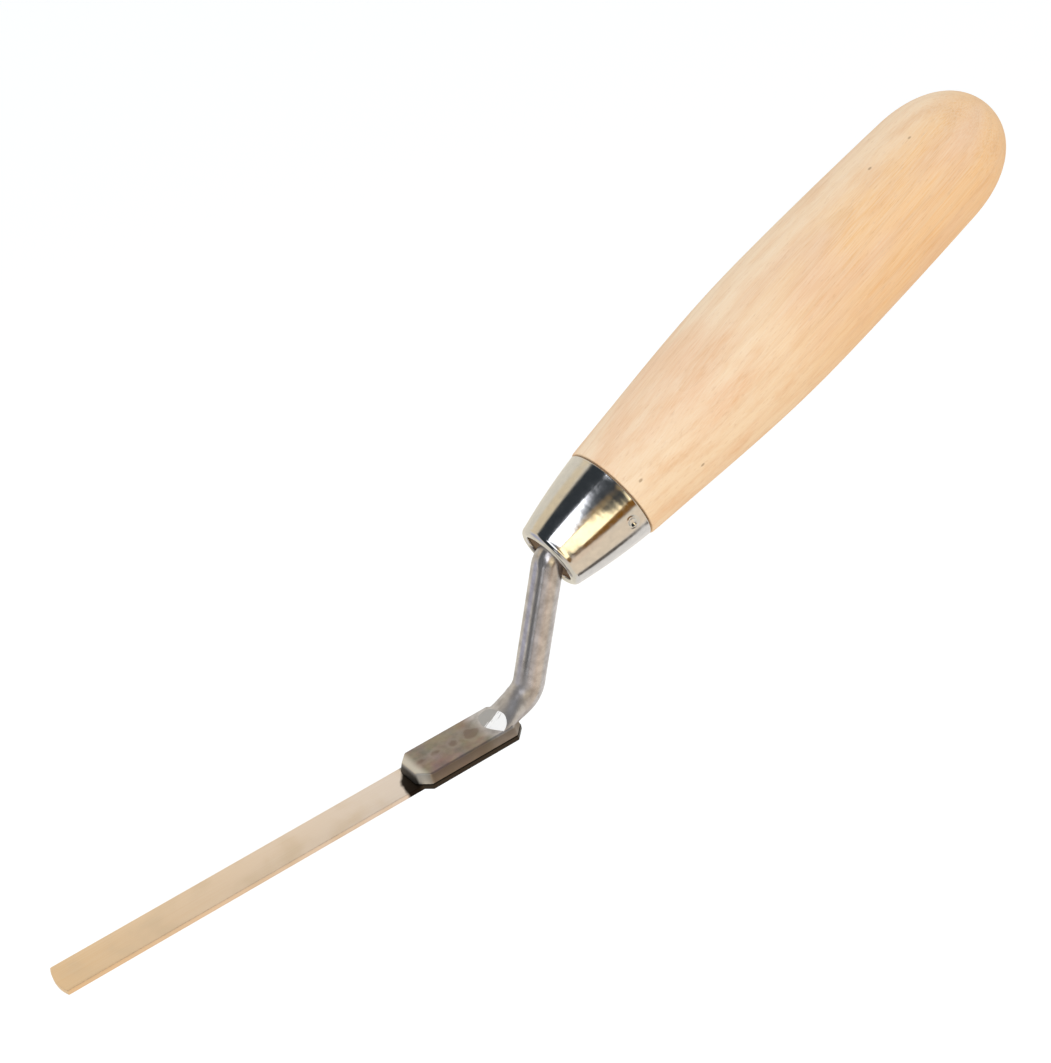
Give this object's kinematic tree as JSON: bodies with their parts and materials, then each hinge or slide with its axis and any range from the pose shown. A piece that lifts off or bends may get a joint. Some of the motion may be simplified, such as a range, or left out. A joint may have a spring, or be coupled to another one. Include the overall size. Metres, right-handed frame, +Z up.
{
  "type": "brick jointer",
  "caption": "Narrow finger trowel for filling and striking mortar joints: a flat strip blade welded under a swan-necked steel rod, with a chromed ferrule and a turned wooden handle.",
  "frame": {"origin": "middle of the free blade's underside, the flat face that works the mortar", "axes": "+X from the tip of the blade towards the handle, +Z up from the blade, +Y across the blade"},
  "size_m": [0.2339, 0.0282, 0.0836],
  "materials": {
    "blade_steel": "satin rolled spring steel with a faint straw tint",
    "shank_steel": "bright drawn rod, stained brown round the welds",
    "ferrule_chrome": "mirror-bright chromed steel",
    "handle_beech": "pale turned beech, sanded, hardly sealed"
  },
  "bodies": {
    "root": {"blade": "blade_steel", "shank": "shank_steel", "ferrule": "ferrule_chrome", "handle": "handle_beech"}
  },
  "joints": []
}
